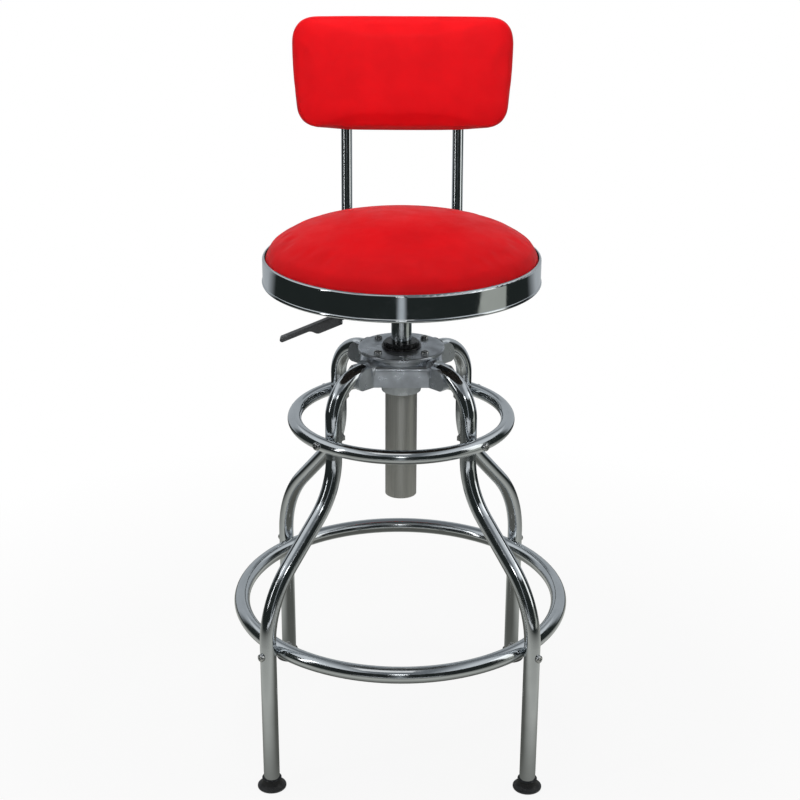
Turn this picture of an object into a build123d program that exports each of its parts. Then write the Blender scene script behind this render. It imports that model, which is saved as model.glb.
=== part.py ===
from build123d import *
from build123d.topology import SkipClean
import os
from math import cos, radians, sin, sqrt, tan

# Shop stool with a gas lift, two foot rings and a padded back.
# Millimetres, +Z up, origin on the floor under the swivel axis, front towards -Y.

# Clearances
FIT = 0.05                  # radial gap of pieces pushed or slid together
SCREW_PLAY = 0.2            # radial gap round a screw
SEAT_GAP = 0.1              # gap under a head, a pad or a stacked piece
TUBE_GAP = 0.2              # gap between two tubes that are screwed together
SIDE_PLAY = 0.3             # gap beside a piece that turns

# Legs
LEG_DIAMETER = 22.2
LEG_WALL = 1.5
LEG_TOP_Z = 569.0           # level run in the hub
LEG_INNER_END = 30.0        # axis to the leg's end in the hub
LEG_UPPER_RADIUS = 127.2    # axis to the upper straight run
LEG_LOWER_RADIUS = 251.3    # axis to the lower straight run
FLARE_TOP_Z = 414.0
FLARE_BOTTOM_Z = 284.0
SHOULDER_BEND = 52.0
FLARE_TOP_BEND = 115.0
FLARE_BOTTOM_BEND = 150.0
LEG_ANGLES = {"rear_right": 45, "rear_left": 135, "front_left": 225, "front_right": 315}

# Rubber glides
GLIDE_RADIUS = 20.0
GLIDE_RIM = 3.0
GLIDE_EDGE = 1.2
GLIDE_SOLE = 6.0
GLIDE_HEIGHT = 14.5
GLIDE_WALL = 2.4
GLIDE_DISH = 2.2

# Foot rings
UPPER_RING_DIAMETER = 19.0
UPPER_RING_WALL = 1.5
UPPER_RING_DROP = 83.5      # below the level run of the legs
LOWER_RING_DIAMETER = 22.2
LOWER_RING_WALL = 1.5
LOWER_RING_DROP = 75.7      # below the lower corner of the flare

# Screws, bolts and nuts
SCREW_DIAMETER = 6.0
SCREW_HEAD_DIAMETER = 11.0
SCREW_HEAD_HEIGHT = 4.0
SCREW_HEAD_ROUND = 2.2
RECESS_LENGTH = 5.6
RECESS_WIDTH = 1.3
RECESS_DEPTH = 1.5
NUT_FLATS = 10.0
NUT_HEIGHT = 5.0
SCREW_TIP = 1.5             # how far a screw stands out of its nut
WOOD_SCREW_DIAMETER = 4.0
WOOD_SCREW_HEAD = 8.0
WOOD_SCREW_HEAD_HEIGHT = 2.6
WOOD_SCREW_ROUND = 1.2

# Cast hub
HUB_ROOF = 8.2              # above the legs
HUB_UNDER = 10.0            # below the legs
HUB_FLATS = 112.0
HUB_CORNER_CUT = 12.0
HUB_BLOCK_TOP = 8.4         # level of the block above the legs' centre line
HUB_EDGE = 7.0
HUB_DISC_RADIUS = 59.0
HUB_DISC_THICKNESS = 5.0
HUB_DISC_EDGE = 1.5
HUB_WAIST_RADIUS = 53.0     # recess under the disc
HUB_NECK_LENGTH = 22.6
HUB_NECK_TOP_WALL = 9.0
HUB_NECK_END_WALL = 5.0
HUB_BOSS_WALL = 4.0
HUB_BOSS_END = 69.0
SADDLE_WALL = 2.4
SADDLE_RISE = 8.0           # above the leg's centre line
SADDLE_TOP_END = 81.0       # axis to the end of the level top
SADDLE_FOOT = 90.0          # axis to the lower end
SADDLE_BULGE = 7.0
SADDLE_ROUND = 8.0          # corner at the lower end
LEG_BOLT_RADIUS = 45.0
LEG_BOLT_LENGTH = 14.0

# Column: guide tube and bush
GUIDE_DIAMETER = 44.0
GUIDE_WALL = 2.0
GUIDE_LENGTH = 219.0
GUIDE_RECESS = 8.0
GUIDE_FLOOR = 4.0
BUSH_LENGTH = 45.0
BUSH_FLANGE_RADIUS = 27.0
BUSH_FLANGE = 3.0
BUSH_COLLAR_RADIUS = 23.5
BUSH_COLLAR = 5.1
BUSH_RIB = 1.2
BUSH_RIBS = 24
BUSH_LIP = 1.6

# Swivel bearing
STUB_DIAMETER = 8.0
WASHER_DIAMETER = 30.0
WASHER_THICKNESS = 2.0
BALL_DIAMETER = 5.0
BALL_COUNT = 8
BALL_CIRCLE_DIAMETER = 20.0
CAGE_DIAMETER = 29.0
CAGE_THICKNESS = 2.0
CLIP_DIAMETER = 13.0
CLIP_THICKNESS = 1.2
CLIP_GROOVE = 1.0
CLIP_MOUTH = 4.0
STUB_TIP = 2.5

# Gas spring
LIFT_STROKE = 127.0
TUBE_DIAMETER = 28.0
TUBE_WALL = 2.0
TAPER = 0.6                 # radius lost along the socket
ROD_DIAMETER = 10.0
PISTON_LENGTH = 12.0
PISTON_MARGIN = 4.0         # piston to gland with the seat raised
STOP_DIAMETER = 22.0
STOP_HEIGHT = 8.0
STOP_GAP = 0.5
GLAND_LENGTH = 15.0
VALVE_LENGTH = 24.0
PIN_DIAMETER = 6.0
PIN_LENGTH = 22.0
PIN_PROUD = 5.0
ROD_SHOWING = 32.5          # bare tube between collar and socket

# Seat bracket
SOCKET_LENGTH = 14.0
SOCKET_DIAMETER = 38.0
CHEEK_THICKNESS = 3.0
CHEEK_GAP = 18.0
CHEEK_FRONT = 36.0          # axis to the lever end of the cheeks
CHEEK_REAR = 30.0
CHEEK_LAP = 12.0            # how far the cheeks lap down the socket
CHEEK_RISE = 31.0           # from the lever's centre line to the seat board
PLATE_SIZE = 126.0
PLATE_CORNER = 14.0
PLATE_THICKNESS = 3.0
PLATE_BOLT_SPACING = 100.0
BOLT_GRIP = 9.0             # bolt length in the seat board

# Release lever
LEVER_BAR = 8.0
LEVER_PIVOT_X = -26.0
LEVER_INNER_END = 5.0
LEVER_SLOPE = 23.2
LEVER_BEND = 20.0
LEVER_BAR_LENGTH = 92.0     # pivot to the bar's end in the handle
LEVER_PLAY = 0.3            # bar above the release pin
PIVOT_DIAMETER = 5.0
PIVOT_BOSS = 11.0
PIVOT_HEAD = 8.0
PIVOT_HEAD_HEIGHT = 1.8
GRIP_START = 62.0           # along the bar from the pivot
GRIP_END = 95.0
BLADE_START = 110.0
BLADE_END = 147.0
GRIP_ABOVE = 7.0
GRIP_BELOW = 7.5
GRIP_WIDTH = 16.0
BLADE_THICKNESS = 6.5
GRIP_EDGE = 2.4

# Seat
SEAT_RADIUS = 186.5
BAND_HEIGHT = 35.7
BAND_WALL = 1.2
BAND_LIP = 3.0
BAND_BEAD = 2.2
BAND_FLANGE = 9.0
BOARD_THICKNESS = 12.0
CUSHION_INSET = 3.6         # from the band's outer face
CROWN_HEIGHT = 54.8         # above the band
CROWN_SHOULDER = 22.0

# Backrest
UPRIGHT_DIAMETER = 16.0
UPRIGHT_WALL = 1.5
UPRIGHT_SPACING = 160.0
UPRIGHT_DROP = 4.0          # below the band
UPRIGHT_BEND = 30.0
UPRIGHT_BEHIND = 5.5        # corner of the bend behind the band
UPRIGHT_FRONT_INSET = 146.5 # front end, from the band
UPRIGHT_TOP = 45.0          # above the pad's middle
UPRIGHT_BOLT_INSETS = (121.5, 56.5)
BACK_SCREW_RISE = 28.0
SPACER_DIAMETER = 14.0
CAP_THICKNESS = 2.5
CAP_PLUG = 10.0
BACK_LEAN = 7.0
BACK_RISE = 241.3           # band bottom to the pad's middle
PAD_TOP_WIDTH = 315.2       # at the sharp corners
PAD_BOTTOM_WIDTH = 296.7
PAD_HEIGHT = 156.0
PAD_CORNER = 31.0
PAD_TOP_SAG = 3.0
PAD_THICKNESS = 38.0
PAD_CROWN_RADIUS = 1400.0
PAD_FRONT_ROUND = 9.0
PAD_REAR_ROUND = 5.0
PAD_WRAP = 7.0              # vinyl and foam round the board's edge
BACK_BOARD = 9.0
BACK_SCREW_GRIP = 7.0

# Heights worked out from the floor up
LEG_BOTTOM_Z = GLIDE_SOLE + SEAT_GAP
UPPER_RING_Z = LEG_TOP_Z - UPPER_RING_DROP
LOWER_RING_Z = FLARE_BOTTOM_Z - LOWER_RING_DROP
UPPER_RING_RADIUS = LEG_UPPER_RADIUS + LEG_DIAMETER / 2 + TUBE_GAP + UPPER_RING_DIAMETER / 2
LOWER_RING_RADIUS = LEG_LOWER_RADIUS - LEG_DIAMETER / 2 - TUBE_GAP - LOWER_RING_DIAMETER / 2
HUB_TOP_Z = LEG_TOP_Z + LEG_DIAMETER / 2 + HUB_ROOF
HUB_BOTTOM_Z = LEG_TOP_Z - LEG_DIAMETER / 2 - HUB_UNDER
GUIDE_BOTTOM_Z = HUB_TOP_Z - GUIDE_LENGTH
FLOOR_Z = GUIDE_BOTTOM_Z + GUIDE_RECESS
LOWER_WASHER_Z = FLOOR_Z + GUIDE_FLOOR
BALL_Z = LOWER_WASHER_Z + WASHER_THICKNESS + SEAT_GAP + BALL_DIAMETER / 2
UPPER_WASHER_Z = BALL_Z + BALL_DIAMETER / 2 + SEAT_GAP
SHOULDER_Z = UPPER_WASHER_Z + WASHER_THICKNESS
TUBE_BOTTOM_Z = SHOULDER_Z + STOP_HEIGHT + STOP_GAP
PISTON_Z = TUBE_BOTTOM_Z + GLAND_LENGTH + LIFT_STROKE + PISTON_MARGIN
ROD_TOP_Z = PISTON_Z + PISTON_LENGTH
COLLAR_TOP_Z = HUB_TOP_Z + BUSH_FLANGE + BUSH_COLLAR
SOCKET_BOTTOM_Z = COLLAR_TOP_Z + ROD_SHOWING
SOCKET_TOP_Z = SOCKET_BOTTOM_Z + SOCKET_LENGTH
LEVER_Z = SOCKET_TOP_Z + PIN_PROUD + LEVER_PLAY + LEVER_BAR / 2
BOARD_Z = LEVER_Z + CHEEK_RISE
BAND_Z = BOARD_Z - BAND_WALL
BAND_TOP_Z = BAND_Z + BAND_HEIGHT
CUSHION_Z = BOARD_Z + BOARD_THICKNESS + SEAT_GAP
UPRIGHT_Z = BAND_Z - UPRIGHT_DROP - UPRIGHT_DIAMETER / 2
UPRIGHT_X = UPRIGHT_SPACING / 2
UPRIGHT_FRONT_Y = SEAT_RADIUS - UPRIGHT_FRONT_INSET
UPRIGHT_REAR_Y = SEAT_RADIUS + UPRIGHT_BEHIND
UPRIGHT_BOLTS_Y = [SEAT_RADIUS - inset for inset in UPRIGHT_BOLT_INSETS]
BACK_Z = BAND_Z + BACK_RISE
BACK_Y = UPRIGHT_REAR_Y + (BACK_Z - UPRIGHT_Z) * tan(radians(BACK_LEAN))
BACK_PLANE = Plane(
    origin=(0, BACK_Y, BACK_Z),
    x_dir=(1, 0, 0),
    z_dir=(0, -cos(radians(BACK_LEAN)), sin(radians(BACK_LEAN))),
)
BACK_FACE = UPRIGHT_DIAMETER / 2 + SEAT_GAP


def cylinder(radius, bottom, height):
    """Upright cylinder on the swivel axis."""
    return Pos(0, 0, bottom) * Cylinder(radius, height, align=(Align.CENTER, Align.CENTER, Align.MIN))


def washer(outer_radius, inner_radius, bottom, height):
    """Flat ring on the swivel axis."""
    return cylinder(outer_radius, bottom, height) - cylinder(inner_radius, bottom, height)


def rod_along(path, diameter):
    """Round bar along a path."""
    section = Plane(origin=path @ 0, z_dir=path % 0) * Circle(diameter / 2)
    return sweep(section, path=path)


def radial_plane(angle, radius, height):
    """Plane whose Z axis points outwards from the swivel axis."""
    outwards = (cos(radians(angle)), sin(radians(angle)), 0)
    return Plane(origin=(radius * outwards[0], radius * outwards[1], height), x_dir=(0, 0, 1), z_dir=outwards)


def post(radius, height):
    """Cylinder that stands on its plane."""
    return Cylinder(radius, height, align=(Align.CENTER, Align.CENTER, Align.MIN))


def screw(diameter, length, head_diameter, head_height, head_round):
    """Round-headed screw with a cross recess: head above the plane, shank below it."""
    head = post(head_diameter / 2, head_height)
    head = fillet(head.faces().sort_by(Axis.Z)[-1].edges(), head_round)
    slot = Box(RECESS_LENGTH, RECESS_WIDTH, 2 * RECESS_DEPTH)
    recess = Pos(0, 0, head_height) * (slot + Rot(0, 0, 90) * slot)
    return head - recess + Pos(0, 0, -length) * post(diameter / 2, length)


def machine_screw(length):
    """Screw of the size used on the legs and rings."""
    return screw(SCREW_DIAMETER, length, SCREW_HEAD_DIAMETER, SCREW_HEAD_HEIGHT, SCREW_HEAD_ROUND)


def hex_nut():
    """Hexagon nut that stands on its plane."""
    body = extrude(RegularPolygon(NUT_FLATS / 2, 6, major_radius=False), NUT_HEIGHT)
    return body - post(SCREW_DIAMETER / 2 + SCREW_PLAY, NUT_HEIGHT)


def screw_hole(length, diameter=SCREW_DIAMETER):
    """Round cutter centred on its plane."""
    return Cylinder(diameter / 2 + SCREW_PLAY, length)


def leg_path():
    """Centre line of a leg in the XZ plane: out of the hub, down, flared out, down to the glide."""
    return FilletPolyline(
        (LEG_INNER_END, 0, LEG_TOP_Z),
        (LEG_UPPER_RADIUS, 0, LEG_TOP_Z),
        (LEG_UPPER_RADIUS, 0, FLARE_TOP_Z),
        (LEG_LOWER_RADIUS, 0, FLARE_BOTTOM_Z),
        (LEG_LOWER_RADIUS, 0, LEG_BOTTOM_Z),
        radius=[SHOULDER_BEND, FLARE_TOP_BEND, FLARE_BOTTOM_BEND],
    )


def leg():
    """Bent tube with the holes of its bolt and of the two ring screws."""
    path = leg_path()
    tube = rod_along(path, LEG_DIAMETER) - rod_along(path, LEG_DIAMETER - 2 * LEG_WALL)
    tube -= Pos(LEG_BOLT_RADIUS, 0, LEG_TOP_Z + LEG_DIAMETER / 2) * screw_hole(LEG_DIAMETER)
    tube -= radial_plane(0, LEG_UPPER_RADIUS, UPPER_RING_Z) * screw_hole(2 * LEG_DIAMETER)
    tube -= radial_plane(0, LEG_LOWER_RADIUS, LOWER_RING_Z) * screw_hole(2 * LEG_DIAMETER)
    return tube


def glide():
    """Dished rubber foot with a cup for the leg's end."""
    cup_radius = LEG_DIAMETER / 2 + FIT
    top_radius = cup_radius + GLIDE_WALL
    middle = ((GLIDE_RADIUS + top_radius) / 2 - GLIDE_DISH, (GLIDE_RIM + GLIDE_HEIGHT) / 2 - GLIDE_DISH)
    outline = Polyline((top_radius, GLIDE_HEIGHT), (cup_radius, GLIDE_HEIGHT), (cup_radius, GLIDE_SOLE))
    outline += Polyline((cup_radius, GLIDE_SOLE), (0, GLIDE_SOLE), (0, 0), (GLIDE_RADIUS, 0))
    outline += Line((GLIDE_RADIUS, 0), (GLIDE_RADIUS, GLIDE_RIM))
    outline += ThreePointArc((GLIDE_RADIUS, GLIDE_RIM), middle, (top_radius, GLIDE_HEIGHT))
    body = revolve(Plane.XZ * make_face(outline), Axis.Z)
    rim = body.edges().filter_by(GeomType.CIRCLE).filter_by(lambda edge: edge.radius > GLIDE_RADIUS - FIT)
    return Pos(LEG_LOWER_RADIUS, 0, 0) * fillet(rim, GLIDE_EDGE)


def foot_ring(radius, diameter, wall, height):
    """Closed tube ring with a screw hole at each leg, joined from quarters whose seams stay."""
    section = Pos(radius, height) * (Circle(diameter / 2) - Circle(diameter / 2 - wall))
    quarter = revolve(Plane.XZ * section, Axis.Z, revolution_arc=90)
    quarter -= radial_plane(LEG_ANGLES["rear_right"], radius, height) * screw_hole(2 * diameter)
    with SkipClean():
        return quarter + [Rot(0, 0, turn) * quarter for turn in (90, 180, 270)]


def ring_fasteners(head_radius, nut_radius, height):
    """Screws and nuts of one foot ring: heads outside, nuts towards the axis."""
    reach = head_radius - nut_radius + NUT_HEIGHT + SEAT_GAP + SCREW_TIP
    screws = []
    nuts = []
    for angle in LEG_ANGLES.values():
        screws.append(radial_plane(angle, head_radius + SEAT_GAP, height) * machine_screw(reach + SEAT_GAP))
        nuts.append(radial_plane(angle, nut_radius - SEAT_GAP - NUT_HEIGHT, height) * hex_nut())
    return Compound(children=screws), Compound(children=nuts)


def hub_saddle():
    """Web under one leg: its walls rise past the tube's centre line and end on the tube's upper bend."""
    top_z = LEG_TOP_Z + SADDLE_RISE
    root_x = LEG_INNER_END + LEG_DIAMETER / 2
    top = (SADDLE_TOP_END, top_z)
    foot = (SADDLE_FOOT, HUB_BOTTOM_Z)
    middle = ((SADDLE_TOP_END + SADDLE_FOOT) / 2 + SADDLE_BULGE, (top_z + HUB_BOTTOM_Z) / 2)
    outline = Polyline(top, (root_x, top_z), (root_x, HUB_BOTTOM_Z), foot)
    outline += ThreePointArc(foot, middle, top)
    face = make_face(outline)
    face = fillet(face.vertices().sort_by_distance((*foot, 0))[:1], SADDLE_ROUND)
    half_width = LEG_DIAMETER / 2 + SADDLE_WALL
    return extrude(Plane.XZ * face, half_width, both=True)


def hub():
    """Cast head: eight-sided block, waist and top disc, neck, and a boss and saddle for each leg."""
    block_height = LEG_TOP_Z + HUB_BLOCK_TOP - HUB_BOTTOM_Z
    block = Box(HUB_FLATS, HUB_FLATS, block_height)
    block = chamfer(block.edges().filter_by(Axis.Z), HUB_CORNER_CUT)
    block = fillet(block.faces().sort_by(Axis.Z)[-1].edges(), HUB_EDGE)
    body = Pos(0, 0, HUB_BOTTOM_Z + block_height / 2) * block
    body += cylinder(HUB_WAIST_RADIUS, HUB_BOTTOM_Z, HUB_TOP_Z - HUB_DISC_THICKNESS - HUB_BOTTOM_Z)
    disc = cylinder(HUB_DISC_RADIUS, HUB_TOP_Z - HUB_DISC_THICKNESS, HUB_DISC_THICKNESS)
    body += fillet(disc.edges().filter_by(GeomType.CIRCLE), HUB_DISC_EDGE)
    bore = GUIDE_DIAMETER / 2 + FIT
    neck = Cone(bore + HUB_NECK_END_WALL, bore + HUB_NECK_TOP_WALL, HUB_NECK_LENGTH)
    body += Pos(0, 0, HUB_BOTTOM_Z - HUB_NECK_LENGTH / 2) * neck
    socket = rod_along(leg_path(), LEG_DIAMETER + 2 * FIT)
    boss = radial_plane(0, LEG_INNER_END, LEG_TOP_Z) * post(
        LEG_DIAMETER / 2 + HUB_BOSS_WALL, HUB_BOSS_END - LEG_INNER_END
    )
    for angle in LEG_ANGLES.values():
        body += Rot(0, 0, angle) * (boss + hub_saddle())
    for angle in LEG_ANGLES.values():
        body -= Rot(0, 0, angle) * socket
        body -= Rot(0, 0, angle) * (Pos(LEG_BOLT_RADIUS, 0, HUB_TOP_Z) * screw_hole(LEG_DIAMETER))
    return body - cylinder(bore, GUIDE_BOTTOM_Z, GUIDE_LENGTH)


def leg_bolts():
    """Bolts through the hub's top disc into the legs."""
    bolt = Pos(LEG_BOLT_RADIUS, 0, HUB_TOP_Z + SEAT_GAP) * machine_screw(LEG_BOLT_LENGTH)
    return Compound(children=[Rot(0, 0, angle) * bolt for angle in LEG_ANGLES.values()])


def guide_tube():
    """Column tube with a recessed floor that the swivel bearing stands on."""
    tube = washer(GUIDE_DIAMETER / 2, GUIDE_DIAMETER / 2 - GUIDE_WALL, GUIDE_BOTTOM_Z, GUIDE_LENGTH)
    tube += cylinder(GUIDE_DIAMETER / 2 - GUIDE_WALL, FLOOR_Z, GUIDE_FLOOR)
    return tube - cylinder(STUB_DIAMETER / 2 + SIDE_PLAY, FLOOR_Z, GUIDE_FLOOR)


def column_bush():
    """Plastic guide for the gas spring: a sleeve in the tube, a flange on the hub and a ribbed collar."""
    flange_z = HUB_TOP_Z + SEAT_GAP
    collar_z = flange_z + BUSH_FLANGE
    collar_height = COLLAR_TOP_Z - collar_z
    body = cylinder(GUIDE_DIAMETER / 2 - GUIDE_WALL - FIT, HUB_TOP_Z - BUSH_LENGTH, BUSH_LENGTH + SEAT_GAP)
    flange = cylinder(BUSH_FLANGE_RADIUS, flange_z, BUSH_FLANGE)
    body += fillet(flange.faces().sort_by(Axis.Z)[-1].edges(), BUSH_LIP)
    collar = cylinder(BUSH_COLLAR_RADIUS, collar_z, collar_height)
    body += fillet(collar.faces().sort_by(Axis.Z)[-1].edges(), BUSH_LIP)
    rib = Pos(BUSH_COLLAR_RADIUS, 0, collar_z) * post(BUSH_RIB, collar_height - BUSH_LIP)
    for turn in range(BUSH_RIBS):
        body += Rot(0, 0, turn * 360 / BUSH_RIBS) * rib
    bore = cylinder(TUBE_DIAMETER / 2 + FIT, HUB_TOP_Z - BUSH_LENGTH, COLLAR_TOP_Z - HUB_TOP_Z + BUSH_LENGTH)
    return body - bore


def ball_positions():
    """Places of the bearing balls round the axis."""
    return PolarLocations(BALL_CIRCLE_DIAMETER / 2, BALL_COUNT)


def bearing_balls():
    """Balls of the swivel bearing."""
    balls = [Pos(0, 0, BALL_Z) * place * Sphere(BALL_DIAMETER / 2) for place in ball_positions()]
    return Compound(children=balls)


def bearing_cage():
    """Flat ring with a pocket for each ball."""
    bottom = BALL_Z - CAGE_THICKNESS / 2
    cage = washer(CAGE_DIAMETER / 2, STUB_DIAMETER / 2 + SIDE_PLAY, bottom, CAGE_THICKNESS)
    for place in ball_positions():
        cage -= Pos(0, 0, BALL_Z) * place * Cylinder(BALL_DIAMETER / 2 + SEAT_GAP, 2 * CAGE_THICKNESS)
    return cage


def clip_bottom():
    """Height of the retaining clip, just under the column's floor."""
    return FLOOR_Z - SIDE_PLAY - CLIP_THICKNESS


def piston_rod():
    """Rod with a thinner foot that goes through the bearing and holds the clip in a groove."""
    stub_bottom = clip_bottom() - STUB_TIP
    rod = cylinder(ROD_DIAMETER / 2, SHOULDER_Z, ROD_TOP_Z - SHOULDER_Z)
    rod += cylinder(STUB_DIAMETER / 2, stub_bottom, SHOULDER_Z - stub_bottom)
    groove_bottom = clip_bottom() - FIT
    groove_height = CLIP_THICKNESS + 2 * FIT
    return rod - washer(STUB_DIAMETER / 2, STUB_DIAMETER / 2 - CLIP_GROOVE, groove_bottom, groove_height)


def retaining_clip():
    """Open ring in the rod's groove, under the column's floor."""
    inner_radius = STUB_DIAMETER / 2 - CLIP_GROOVE + FIT
    clip = washer(CLIP_DIAMETER / 2, inner_radius, clip_bottom(), CLIP_THICKNESS)
    mouth = Box(CLIP_DIAMETER, CLIP_MOUTH, 4 * CLIP_THICKNESS)
    return clip - Pos(CLIP_DIAMETER / 2, 0, clip_bottom()) * mouth


def piston():
    """Piston on the rod's end."""
    bore_radius = TUBE_DIAMETER / 2 - TUBE_WALL
    return washer(bore_radius - FIT, ROD_DIAMETER / 2 + FIT, PISTON_Z, PISTON_LENGTH)


def bump_stop():
    """Rubber buffer under the gas spring."""
    return washer(STOP_DIAMETER / 2, ROD_DIAMETER / 2 + FIT, SHOULDER_Z + SEAT_GAP, STOP_HEIGHT - SEAT_GAP)


def pressure_tube():
    """Gas spring cylinder with a slightly tapered head that wedges in the seat bracket."""
    outer = cylinder(TUBE_DIAMETER / 2, TUBE_BOTTOM_Z, SOCKET_BOTTOM_Z - TUBE_BOTTOM_Z)
    head = Cone(TUBE_DIAMETER / 2, TUBE_DIAMETER / 2 - TAPER, SOCKET_LENGTH)
    outer += Pos(0, 0, SOCKET_BOTTOM_Z + SOCKET_LENGTH / 2) * head
    return outer - cylinder(TUBE_DIAMETER / 2 - TUBE_WALL, TUBE_BOTTOM_Z, SOCKET_TOP_Z - TUBE_BOTTOM_Z)


def rod_gland():
    """Guide and seal of the rod, in the foot of the pressure tube."""
    return washer(TUBE_DIAMETER / 2 - TUBE_WALL - FIT, ROD_DIAMETER / 2 + FIT, TUBE_BOTTOM_Z, GLAND_LENGTH)


def valve_body():
    """Valve block in the head of the pressure tube."""
    bottom = SOCKET_TOP_Z - VALVE_LENGTH
    return washer(TUBE_DIAMETER / 2 - TUBE_WALL - FIT, PIN_DIAMETER / 2 + FIT, bottom, VALVE_LENGTH)


def release_pin():
    """Pin that opens the valve when the lever presses it."""
    pin = cylinder(PIN_DIAMETER / 2, SOCKET_TOP_Z + PIN_PROUD - PIN_LENGTH, PIN_LENGTH)
    return fillet(pin.faces().sort_by(Axis.Z)[-1].edges(), PIN_DIAMETER / 8)


def plate_bolt_places():
    """Bolts at the corners of the bracket's plate."""
    return GridLocations(PLATE_BOLT_SPACING, PLATE_BOLT_SPACING, 2, 2)


def seat_bracket():
    """Steel bracket: plate, two cheeks for the lever's pivot and the socket of the gas spring."""
    plate = RectangleRounded(PLATE_SIZE, PLATE_SIZE, PLATE_CORNER)
    body = Pos(0, 0, BOARD_Z - PLATE_THICKNESS) * extrude(plate, PLATE_THICKNESS)
    cheek_bottom = SOCKET_TOP_Z - CHEEK_LAP
    cheek_height = BOARD_Z - PLATE_THICKNESS - cheek_bottom
    cheek = Box(CHEEK_FRONT + CHEEK_REAR, CHEEK_THICKNESS, cheek_height)
    cheek_x = (CHEEK_REAR - CHEEK_FRONT) / 2
    for side in (-1, 1):
        cheek_y = side * (CHEEK_GAP + CHEEK_THICKNESS) / 2
        body += Pos(cheek_x, cheek_y, cheek_bottom + cheek_height / 2) * cheek
    body += cylinder(SOCKET_DIAMETER / 2, SOCKET_BOTTOM_Z, SOCKET_LENGTH)
    taper = Cone(TUBE_DIAMETER / 2 + FIT, TUBE_DIAMETER / 2 - TAPER + FIT, SOCKET_LENGTH)
    body -= Pos(0, 0, SOCKET_BOTTOM_Z + SOCKET_LENGTH / 2) * taper
    body -= Pos(LEVER_PIVOT_X, 0, LEVER_Z) * Rot(90, 0, 0) * Cylinder(PIVOT_DIAMETER / 2 + FIT, SOCKET_DIAMETER)
    for place in plate_bolt_places():
        body -= Pos(0, 0, BOARD_Z) * place * screw_hole(4 * PLATE_THICKNESS)
    return body


def bracket_bolts():
    """Bolts from under the plate into the seat board."""
    bolt = Pos(0, 0, BOARD_Z - PLATE_THICKNESS - SEAT_GAP) * Rot(180, 0, 0)
    bolt = bolt * machine_screw(PLATE_THICKNESS + SEAT_GAP + BOLT_GRIP)
    return Compound(children=[place * bolt for place in plate_bolt_places()])


def lever_pin():
    """Headed pivot pin through the bracket's cheeks."""
    length = CHEEK_GAP + 2 * CHEEK_THICKNESS + 2 * SEAT_GAP
    pin = Cylinder(PIVOT_DIAMETER / 2, length)
    head = Cylinder(PIVOT_HEAD / 2, PIVOT_HEAD_HEIGHT)
    for side in (-1, 1):
        pin += Pos(0, 0, side * (length + PIVOT_HEAD_HEIGHT) / 2) * head
    return Pos(LEVER_PIVOT_X, 0, LEVER_Z) * Rot(90, 0, 0) * pin


def lever_plane():
    """Plane at the pivot whose X axis runs out along the lever and whose Y axis is its upper side."""
    slope = radians(LEVER_SLOPE)
    along = (-cos(slope), 0, -sin(slope))
    return Plane(origin=(LEVER_PIVOT_X, 0, LEVER_Z), x_dir=along, z_dir=(0, 1, 0))


def lever_bar():
    """Steel bar: level over the release pin, sloping down outside the pivot, with a bored pivot boss."""
    end = lever_plane().from_local_coords(Vector(LEVER_BAR_LENGTH, 0, 0))
    path = FilletPolyline(
        (LEVER_INNER_END, 0, LEVER_Z),
        (LEVER_PIVOT_X, 0, LEVER_Z),
        (end.X, end.Y, end.Z),
        radius=LEVER_BEND,
    )
    pivot = Pos(LEVER_PIVOT_X, 0, LEVER_Z) * Rot(90, 0, 0)
    bar = rod_along(path, LEVER_BAR) + pivot * Cylinder(PIVOT_BOSS / 2, CHEEK_GAP - 2 * SIDE_PLAY)
    return bar - pivot * Cylinder(PIVOT_DIAMETER / 2 + FIT, CHEEK_GAP)


def lever_handle():
    """Moulded handle: a thick grip on the bar that runs out into a thin blade."""
    blade_below = GRIP_ABOVE - BLADE_THICKNESS
    knee = (GRIP_END + BLADE_START) / 2
    outline = Polyline(
        (GRIP_END, -GRIP_BELOW), (GRIP_START, -GRIP_BELOW), (GRIP_START, GRIP_ABOVE), (BLADE_END, GRIP_ABOVE)
    )
    outline += ThreePointArc(
        (BLADE_END, GRIP_ABOVE),
        (BLADE_END + BLADE_THICKNESS / 2, GRIP_ABOVE - BLADE_THICKNESS / 2),
        (BLADE_END, blade_below),
    )
    outline += Line((BLADE_END, blade_below), (BLADE_START, blade_below))
    outline += Spline(
        (BLADE_START, blade_below),
        (knee, (blade_below - GRIP_BELOW) / 2),
        (GRIP_END, -GRIP_BELOW),
        tangents=((-1, 0), (-1, 0)),
    )
    body = extrude(make_face(outline), GRIP_WIDTH / 2, both=True)
    sides = body.faces().sort_by(Axis.Z)
    body = fillet(sides[0].edges() + sides[-1].edges(), GRIP_EDGE)
    bar_hole = Rot(0, 90, 0) * post(LEVER_BAR / 2 + FIT, LEVER_BAR_LENGTH + SEAT_GAP)
    return lever_plane() * (body - bar_hole)


def upright_bolt_places():
    """Places of the bolts that hold the uprights under the seat."""
    return [(side * UPRIGHT_X, y) for side in (-1, 1) for y in UPRIGHT_BOLTS_Y]


def seat_board():
    """Plywood disc with blind holes for the bolts from below."""
    board = cylinder(SEAT_RADIUS - BAND_WALL - SIDE_PLAY, BOARD_Z, BOARD_THICKNESS)
    hole = screw_hole(2 * (BOLT_GRIP + SEAT_GAP))
    for place in plate_bolt_places():
        board -= Pos(0, 0, BOARD_Z) * place * hole
    for x, y in upright_bolt_places():
        board -= Pos(x, y, BOARD_Z) * hole
    return board


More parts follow.
